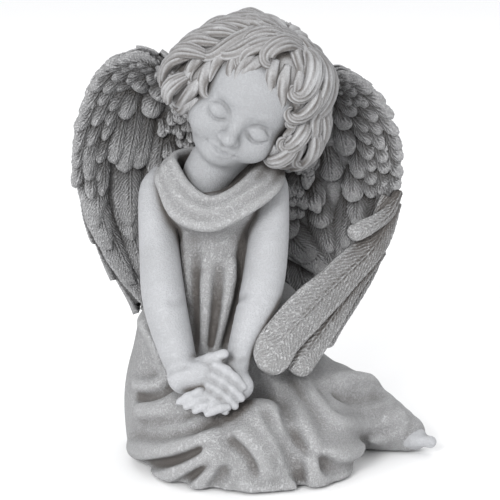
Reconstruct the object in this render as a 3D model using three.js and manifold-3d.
// A seated angel child figurine in cast resin: a hollow robe casting with the head, hair, arms, feet and
// wings cast apart and bonded on, closed underneath by a plate with a vent plug and standing on felt pads.
// Millimetres, +Z up, the figure faces -Y. "Right" and "left" are the figure's own: right is -X.
import * as THREE from 'three';
import { mergeVertices } from 'three/addons/utils/BufferGeometryUtils.js';
import Module from 'manifold-3d';

const wasm = await Module();
wasm.setup();

// ---- driving dimensions ----
const GAP = 0.35; // glue gap between bonded castings
const WALL = 7; // resin wall of the hollow robe
const CAVITY_TOP = 96; // the hollow stops below the chest
const PAD = { radius: 7, height: 1.5 };
// The closing plate under the hollow, and the corners of its rounded outline.
const PLATE = {
  height: 4,
  outline: [[-56, 8], [-46, -26], [-14, -56], [26, -52], [42, -22], [32, 18], [4, 46], [-30, 48]],
};
const VENT = { radius: 6, flange: 8, flangeHeight: 1.2, length: 6 };
const FLOOR = PAD.height; // underside of the resin, above the surface that the pads stand on
const HEAD = { centre: [-1, -7, 203], bow: 14, tilt: 33, turn: -6 }; // degrees

const rad = THREE.MathUtils.degToRad;
const vec = (a) => new THREE.Vector3(...a);

// ---- soft forms: distance functions that blend into one another ----
function ball(centre, radii) {
  const c = vec(centre);
  const r = vec(radii);
  return (p) => {
    const q = p.clone().sub(c);
    const near = q.clone().divide(r).length();
    const slope = q.divide(r).divide(r).length();
    return slope > 1e-9 ? (near * (near - 1)) / slope : -Math.min(r.x, r.y, r.z);
  };
}

// A chain of tapering round segments through the points.
function limb(points, radii) {
  const stops = points.map(vec);
  return (p) => {
    let least = Infinity;
    for (let i = 0; i + 1 < stops.length; i++) {
      const along = stops[i + 1].clone().sub(stops[i]);
      const from = p.clone().sub(stops[i]);
      const t = THREE.MathUtils.clamp(from.dot(along) / along.lengthSq(), 0, 1);
      const radius = THREE.MathUtils.lerp(radii[i], radii[i + 1], t);
      least = Math.min(least, from.sub(along.multiplyScalar(t)).length() - radius);
    }
    return least;
  };
}

function blend(softness, ...forms) {
  return (p) => forms.map((form) => form(p)).reduce((a, b) => {
    const h = Math.max(softness - Math.abs(a - b), 0) / softness;
    return Math.min(a, b) - (h * h * softness) / 4;
  });
}

// ---- from three.js geometry to solids ----
function solid(geometry) {
  const bare = geometry.clone();
  for (const name of Object.keys(bare.attributes)) {
    if (name !== 'position') bare.deleteAttribute(name);
  }
  const merged = mergeVertices(bare, 1e-4);
  const vertProperties = new Float32Array(merged.attributes.position.array);
  const triVerts = new Uint32Array(merged.index.array);
  return new wasm.Manifold(new wasm.Mesh({ numProp: 3, vertProperties, triVerts }));
}

function moveVertices(geometry, move) {
  const at = geometry.attributes.position;
  const p = new THREE.Vector3();
  for (let i = 0; i < at.count; i++) {
    const q = move(p.fromBufferAttribute(at, i).clone());
    at.setXYZ(i, q.x, q.y, q.z);
  }
  return geometry;
}

// A sphere's vertices drawn in along rays until they lie on the form, `grow` millimetres off its skin.
function wrap(form, centre, around, down, grow = 0) {
  const c = vec(centre);
  const reach = 160;
  const sphere = new THREE.SphereGeometry(1, around, down).rotateX(Math.PI / 2);
  return moveVertices(sphere, (ray) => {
    let t = reach;
    for (let i = 0; i < 120; i++) {
      const d = form(ray.clone().multiplyScalar(t).add(c)) - grow;
      if (d < 0.01) break;
      t -= 0.8 * d;
    }
    return ray.multiplyScalar(Math.max(t, 1)).add(c);
  });
}

// A capsule bent along a curve through the points, with a radius at each point.
function bentCapsule(points, radii, sides, steps, grow = 0) {
  const curve = new THREE.CatmullRomCurve3(points.map(vec));
  const frames = curve.computeFrenetFrames(steps, false);
  const radiusAt = (t) => {
    const s = t * (radii.length - 1);
    const i = Math.min(Math.floor(s), radii.length - 2);
    return THREE.MathUtils.lerp(radii[i], radii[i + 1], s - i) + grow;
  };
  return moveVertices(new THREE.CapsuleGeometry(1, 1, 2, sides, steps), (v) => {
    const t = THREE.MathUtils.clamp(v.y + 0.5, 0, 1);
    const r = radiusAt(t);
    const i = Math.round(t * steps);
    return curve.getPointAt(t)
      .addScaledVector(frames.tangents[i], (v.y + 0.5 - t) * r)
      .addScaledVector(frames.normals[i], v.x * r)
      .addScaledVector(frames.binormals[i], -v.z * r);
  });
}

// A feather: a thin slab along a curve, its flat side turned to `facing`, with a round tip.
function feather(points, halfWidth, thickness, facing, grow = 0, across = 2, along = 5) {
  const curve = new THREE.CatmullRomCurve3(points.map(vec));
  const front = vec(facing).normalize();
  return moveVertices(new THREE.BoxGeometry(1, 1, 1, across, along, 1), (v) => {
    const t = v.y + 0.5;
    const tangent = curve.getTangentAt(t);
    const side = tangent.clone().cross(front).normalize();
    const out = side.clone().cross(tangent);
    const tip = Math.sqrt(Math.max(1 - ((t - 0.6) / 0.45) ** 2, 0.06));
    const w = halfWidth * (t < 0.6 ? 0.62 + 0.38 * (t / 0.6) : tip) + grow;
    return curve.getPointAt(t)
      .addScaledVector(tangent, 2 * (t - 0.5) * grow)
      .addScaledVector(side, 2 * v.x * w)
      .addScaledVector(out, 2 * v.z * (thickness / 2 + grow) * (1 - 0.5 * (2 * v.x) ** 2));
  });
}

const join = (...solids) => wasm.Manifold.union(solids);
// The largest piece of a cut solid: a cut between two blended forms can leave a loose sliver.
const largest = (body) => body.decompose().reduce((a, b) => (a.volume() > b.volume() ? a : b));
const boxSolid = (low, high) => {
  const size = vec(high).sub(vec(low));
  return solid(new THREE.BoxGeometry(size.x, size.y, size.z).translate(
    (low[0] + high[0]) / 2, (low[1] + high[1]) / 2, (low[2] + high[2]) / 2,
  ));
};
const post = (radius, low, high, x, y, sides = 20) => solid(
  new THREE.CylinderGeometry(radius, radius, high - low, sides)
    .rotateX(Math.PI / 2).translate(x, y, (low + high) / 2),
);

// ---- the robe: torso, lap, knees under cloth and the skirt spread to the left ----
const skirtForm = blend(
  14,
  ball([-12, 14, 4], [55, 56, 24]),
  ball([0, -30, 2], [52, 40, 17]),
  ball([-18, 20, 38], [48, 40, 38]),
  ball([-38, 16, 62], [26, 28, 34]),
  ball([8, 18, 66], [26, 28, 32]),
  ball([-47, -4, 16], [20, 34, 20]),
  limb([[-42, 10, 32], [-22, -38, 18], [2, -46, 16]], [26, 24, 23]),
  limb([[8, 12, 34], [34, -20, 20]], [26, 22]),
  ball([32, -34, 12], [25, 25, 20]),
  limb([[36, 10, 26], [62, 10, 20], [88, 7, 10]], [28, 20, 11]),
);
const torsoForm = blend(
  10,
  ball([-22, -4, 146], [24, 21, 13]),
  limb([[-20, 10, 62], [-20, 8, 100], [-20, 9, 134]], [31, 25, 20]),
  limb([[-42, 10, 140], [2, 10, 140]], [11, 11]),
);
const CAVITY_CENTRE = [-12, 6, 28];
// Ridges of cloth on the skirt: each fans out from under the hands or from the hip down to the hem.
const FOLDS = [
  [[10, -46, 44], [22, -54, 28], [42, -56, 4]],
  [[12, -48, 34], [2, -60, 24], [-22, -66, 8]],
  [[4, -54, 32], [4, -64, 14], [4, -66, 2]],
  [[-24, -42, 46], [-44, -42, 28], [-56, -38, 6]],
  [[32, -22, 46], [58, -22, 22], [62, -20, 4]],
  [[42, -4, 52], [66, -6, 28], [80, -4, 8]],
  [[-38, -14, 60], [-56, -14, 38], [-63, -4, 6]],
];
const FOLD_RADIUS = 5;
const clothForm = blend(5, skirtForm, ...FOLDS.map((path) => limb(path, path.map(() => FOLD_RADIUS))));

function robeSolid(grow) {
  const skirt = solid(wrap(clothForm, [-8, 4, 30], 48, 24, grow));
  const torso = solid(wrap(torsoForm, [-20, 9, 100], 18, 12, grow));
  return join(skirt, torso).intersect(boxSolid([-150, -150, FLOOR - grow], [150, 150, 200]));
}

const cavity = solid(wrap(skirtForm, CAVITY_CENTRE, 20, 12, -WALL))
  .intersect(boxSolid([-150, -150, FLOOR + PLATE.height - 1], [150, 150, CAVITY_TOP]));

// A rounded plate of the closing plate's outline, let out or drawn in by `grow`.
function plateSlab(grow, low, high) {
  const centre = new THREE.Vector2(CAVITY_CENTRE[0], CAVITY_CENTRE[1]);
  const corners = PLATE.outline.map(([x, y]) => {
    const out = new THREE.Vector2(x, y).sub(centre);
    return out.setLength(out.length() + grow).add(centre);
  });
  const outline = new THREE.CatmullRomCurve3(corners.map((c) => vec([c.x, c.y, 0])), true);
  const shape = new THREE.Shape(outline.getPoints(28).slice(0, -1).map((q) => (
    new THREE.Vector2(q.x, q.y)
  )));
  const depth = high - low;
  return solid(new THREE.ExtrudeGeometry(shape, { depth, bevelEnabled: false }).translate(0, 0, low));
}

// ---- head, in its own leaning frame ----
const headMatrix = new THREE.Matrix4()
  .makeRotationFromEuler(new THREE.Euler(rad(HEAD.bow), rad(HEAD.tilt), rad(HEAD.turn), 'YXZ'))
  .setPosition(vec(HEAD.centre));
const toHead = headMatrix.clone().invert();
const leaning = (form) => (p) => form(p.clone().applyMatrix4(toHead));

const faceForm = blend(
  8,
  ball([0, 3, 4], [30, 34, 34]),
  ball([0, -8, -16], [24, 22, 20]),
  ball([0, -25, -12], [4, 4.5, 4.5]),
);
const hairForm = blend(
  5,
  ball([0, 7, 8], [37, 38, 39]),
  ...[[-32, 0], [-34, 25], [-30, 50], [34, 4], [36, 28], [30, 52]].map(([x, turn], i) => ball(
    [x, -14 + (i % 3) * 14, 6 - turn * 0.55], [12, 12, 13],
  )),
  ball([12, -21, 33], [15, 11, 11]),
  ball([-41, -8, -11], [10, 9, 10]),
  ball([-37, -6, 16], [9, 10, 10]),
  ball([-16, -16, 31], [14, 11, 10]),
);
const neckPath = [[-7, 0, 180], [-23, 2, 160], [-25, 4, 138]];
const headSolid = (grow) => join(
  solid(wrap(leaning(faceForm), HEAD.centre, 20, 14, grow)),
  solid(bentCapsule(neckPath, [15, 13.5, 13], 14, 5, grow)),
);
const hairSolid = (grow) => solid(wrap(leaning(hairForm), HEAD.centre, 24, 16, grow));
const faceOpening = solid(
  new THREE.CylinderGeometry(28, 30, 44, 20).translate(0, -32, -6).applyMatrix4(headMatrix),
);

// ---- arms: bare, straight down to the lap, the right hand laid over the left ----
const ARMS = {
  right: {
    path: [[-51, 11, 146], [-51, -2, 130], [-49, -14, 107], [-43, -26, 84], [-34, -39, 62]],
    radii: [11, 10.8, 10.2, 10, 7.8],
    palm: { centre: [-25, -46, 55], radii: [12, 6.5, 9], turn: 35 },
    knuckles: [[-16, -49, 61], [-17, -51, 57], [-20, -52, 53], [-24, -53, 50]],
    tips: [[-4, -54, 54], [-7, -57, 49.5], [-13, -59, 47], [-20, -60, 46.5]],
    thumb: [[-24, -45, 62], [-16, -46, 66], [-11, -47, 69]],
  },
  left: {
    path: [[8, 10, 144], [10, -1, 128], [8, -14, 101], [-1, -27, 79], [-8, -38, 61], [-11, -44, 49]],
    radii: [12, 12, 11.2, 9, 6.8, 6.5],
    palm: { centre: [-11, -47, 46], radii: [10, 8, 7], turn: 10 },
    knuckles: [[-15, -49, 42], [-16, -52, 41], [-17, -55, 41]],
    tips: [[-39, -57, 42], [-33, -60, 41], [-27, -62, 41]],
    thumb: [],
  },
};
const FINGER = { root: 3.4, tip: 2.7 };

function armSolid({ path, radii, palm, knuckles, tips, thumb }, grow) {
  const hand = new THREE.SphereGeometry(1, 10, 8)
    .scale(palm.radii[0] + grow, palm.radii[1] + grow, palm.radii[2] + grow)
    .rotateY(rad(palm.turn)).translate(...palm.centre);
  const fingers = knuckles.map((knuckle, i) => {
    const bend = vec(knuckle).lerp(vec(tips[i]), 0.55).add(vec([0, -1.2, 1.2]));
    return bentCapsule([knuckle, bend.toArray(), tips[i]], [FINGER.root, FINGER.tip], 6, 2, grow);
  });
  if (thumb.length) fingers.push(bentCapsule(thumb, [4.2, 2.9], 6, 2, grow));
  return join(solid(bentCapsule(path, radii, 12, 8, grow)), solid(hand), ...fingers.map(solid));
}

// ---- feet: bare, tucked out of the hem at the figure's left ----
const footForm = blend(
  4,
  limb([[72, 8, 11], [86, 5, 9.5], [96, 2, 8]], [10, 8, 6]),
  ball([98, -1, 7.5], [4.4, 4.4, 4.6]),
  ball([97, 7, 6], [4, 4, 4]),
);
const footSolid = (grow) => solid(wrap(footForm, [84, 5, 9], 18, 12, grow))
  .intersect(boxSolid([-150, -150, FLOOR - grow], [150, 150, 60]));

// ---- wings: a dished blade between its rim and its root line, with rows of feathers on it ----
const WINGS = {
  right: {
    tenonX: -34,
    rim: [[-44, 33, 215], [-64, 27, 224], [-86, 24, 211], [-101, 24, 170], [-98, 27, 128],
      [-82, 31, 100], [-63, 36, 75]],
    root: [[-27, 40, 196], [-24, 44, 182], [-22, 48, 164], [-22, 50, 140], [-26, 50, 116],
      [-36, 48, 94], [-54, 40, 72]],
    rows: [[0.62, 6, 8, 0.12], [0.36, 7, 8.5, 0.12], [0.12, 8, 8.5, 0.13]],
  },
  left: {
    tenonX: -4,
    rim: [[40, 33, 203], [53, 27, 213], [70, 24, 203], [84, 22, 178], [86, 22, 154], [82, 25, 132],
      [68, 28, 112]],
    root: [[12, 40, 190], [8, 44, 178], [2, 48, 160], [0, 50, 140], [4, 50, 122], [16, 48, 106],
      [34, 42, 96]],
    rows: [[0.62, 5, 7, 0.14], [0.36, 6, 7.5, 0.14], [0.12, 7, 7.5, 0.15]],
  },
};
const BLADE = 7; // thickness of the dished blade
const DISH = 11; // how far its middle is pushed back
const FEATHER = 4; // thickness of a raised feather

function wingPoint(wing, t, s, out) {
  const rim = new THREE.CatmullRomCurve3(wing.rim.map(vec)).getPoint(t);
  const root = new THREE.CatmullRomCurve3(wing.root.map(vec)).getPoint(t);
  return rim.lerp(root, s).add(vec([0, DISH * Math.sin(Math.PI * s) + out, 0]));
}

function wingSolid(wing, grow) {
  const blade = moveVertices(new THREE.BoxGeometry(1, 1, 1, 5, 10, 1), (v) => {
    const s = THREE.MathUtils.clamp(v.x + 0.5, 0, 1);
    const edge = 1 - 0.55 * (2 * s - 1) ** 4;
    const flip = wing.rim[0][0] < 0 ? 1 : -1;
    return wingPoint(wing, 0.5 - v.y, flip > 0 ? s : 1 - s, -v.z * (BLADE * edge + 2 * grow))
      .add(vec([2 * v.x * grow, 0, 2 * v.y * grow]));
  });
  const feathers = wing.rows.flatMap(([s, count, halfWidth, reach]) => (
    Array.from({ length: count }, (_, i) => {
      const t = THREE.MathUtils.lerp(0.06, 0.84, i / (count - 1));
      const points = [0, 0.5, 1].map((u) => (
        wingPoint(wing, t + u * reach, s + 0.03 * u, -BLADE / 2 - 2 * u).toArray()
      ));
      return solid(feather(points, halfWidth, FEATHER, [0, -1, 0], grow, 2, 3));
    })
  ));
  return join(solid(blade), ...feathers);
}

// The square key on a wing's back edge that goes into its pocket in the shoulder.
const tenonSolid = (wing, grow) => boxSolid(
  [wing.tenonX - 6 - grow, 24 - grow, 128 - grow], [wing.tenonX + 6 + grow, 51, 144 + grow],
);

// The long flight feathers of the left wing, swept forward with their tips laid on the lap.
const PRIMARIES = [
  {
    path: [[80, 20, 142], [70, 8, 120], [51, -8, 104], [33, -23, 90], [18, -35, 76], [9, -43, 59]],
    halfWidth: 11,
  },
  { path: [[81, 24, 131], [68, 11, 111], [53, -2, 96], [38, -14, 81], [29, -24, 67]], halfWidth: 10 },
  { path: [[84, 24, 146], [77, 14, 134], [66, 4, 129], [55, -4, 126]], halfWidth: 7 },
];
const PRIMARY_FACING = [0.35, -0.9, 0.25];
const primariesSolid = (grow) => join(...PRIMARIES.map(({ path, halfWidth }) => (
  solid(feather(path, halfWidth, 6, PRIMARY_FACING, grow, 2, 10))
)));

// ---- each casting, cut back a glue gap from those that it is bonded to ----
const rightArm = armSolid(ARMS.right, 0);
const leftArm = armSolid(ARMS.left, 0).subtract(armSolid(ARMS.right, GAP));
const arms = join(armSolid(ARMS.right, GAP), armSolid(ARMS.left, GAP));
const head = headSolid(0).subtract(arms);
const hair = hairSolid(0).subtract(join(headSolid(GAP), arms, faceOpening));
const hairGrown = hairSolid(GAP).subtract(faceOpening);
const upper = join(arms, headSolid(GAP), hairGrown);

const inTheWay = join(robeSolid(GAP), upper);
const [rightWing, leftWing] = [WINGS.right, WINGS.left].map((wing) => (
  join(largest(wingSolid(wing, 0).subtract(inTheWay)), tenonSolid(wing, 0))
));
const wingsGrown = join(wingSolid(WINGS.right, GAP), wingSolid(WINGS.left, GAP));
const pockets = join(tenonSolid(WINGS.right, GAP), tenonSolid(WINGS.left, GAP));
const primaries = primariesSolid(0).subtract(join(wingsGrown, arms));
const feet = footSolid(0);

const plateTop = FLOOR + PLATE.height;
const plate = plateSlab(0, FLOOR, plateTop)
  .subtract(post(VENT.radius + GAP, 0, 20, ...CAVITY_CENTRE))
  .subtract(post(VENT.flange + GAP, 0, FLOOR + VENT.flangeHeight, ...CAVITY_CENTRE));
const vent = join(
  post(VENT.flange, FLOOR, FLOOR + VENT.flangeHeight - GAP, CAVITY_CENTRE[0], CAVITY_CENTRE[1]),
  post(VENT.radius, FLOOR, FLOOR + VENT.length, CAVITY_CENTRE[0], CAVITY_CENTRE[1]),
);
const robe = robeSolid(0)
  .subtract(join(cavity, plateSlab(GAP, 0, plateTop + GAP)))
  .subtract(join(upper, primariesSolid(GAP), footSolid(GAP), pockets));

// ---- materials ----
const skinResin = new THREE.MeshStandardMaterial({ color: 0xb4b6ba, roughness: 0.5, metalness: 0 });
const robeResin = new THREE.MeshStandardMaterial({ color: 0xa6a7a8, roughness: 0.8, metalness: 0 });
const wingResin = new THREE.MeshStandardMaterial({ color: 0x9d9c9b, roughness: 0.75, metalness: 0 });
const hairResin = new THREE.MeshStandardMaterial({ color: 0xadadae, roughness: 0.65, metalness: 0 });
const plateResin = new THREE.MeshStandardMaterial({ color: 0x8f8f8d, roughness: 0.85, metalness: 0 });
const rubber = new THREE.MeshStandardMaterial({ color: 0x3a3a3a, roughness: 0.9, metalness: 0 });
const felt = new THREE.MeshStandardMaterial({ color: 0x4b4b4d, roughness: 1, metalness: 0 });

function meshOf(name, body, material) {
  const { vertProperties, triVerts } = body.getMesh();
  const geometry = new THREE.BufferGeometry();
  geometry.setAttribute('position', new THREE.BufferAttribute(vertProperties, 3));
  geometry.setIndex(new THREE.BufferAttribute(triVerts, 1));
  geometry.computeVertexNormals();
  const mesh = new THREE.Mesh(geometry, material);
  mesh.name = name;
  return mesh;
}

const figure = new THREE.Group();
const castings = [
  ['robe_body', robe, robeResin],
  ['head', head, skinResin],
  ['hair', hair, hairResin],
  ['right_arm', rightArm, skinResin],
  ['left_arm', leftArm, skinResin],
  ['feet', feet, skinResin],
  ['right_wing', rightWing, wingResin],
  ['left_wing', leftWing, wingResin],
  ['left_wing_primaries', primaries, wingResin],
];
for (const [name, body, material] of castings) figure.add(meshOf(name, largest(body), material));

const base = new THREE.Group();
base.add(meshOf('base_plate', plate, plateResin), meshOf('vent_plug', vent, rubber));
const padPlaces = [[-50, -2], [-8, -48], [38, -34], [-8, 42]];
padPlaces.forEach(([x, y], i) => {
  const pad = new THREE.Mesh(
    new THREE.CylinderGeometry(PAD.radius, PAD.radius, PAD.height - GAP, 16).rotateX(Math.PI / 2), felt,
  );
  pad.name = `felt_pad_${i + 1}`;
  pad.position.set(x, y, (PAD.height - GAP) / 2);
  base.add(pad);
});
figure.add(base);

export default figure;
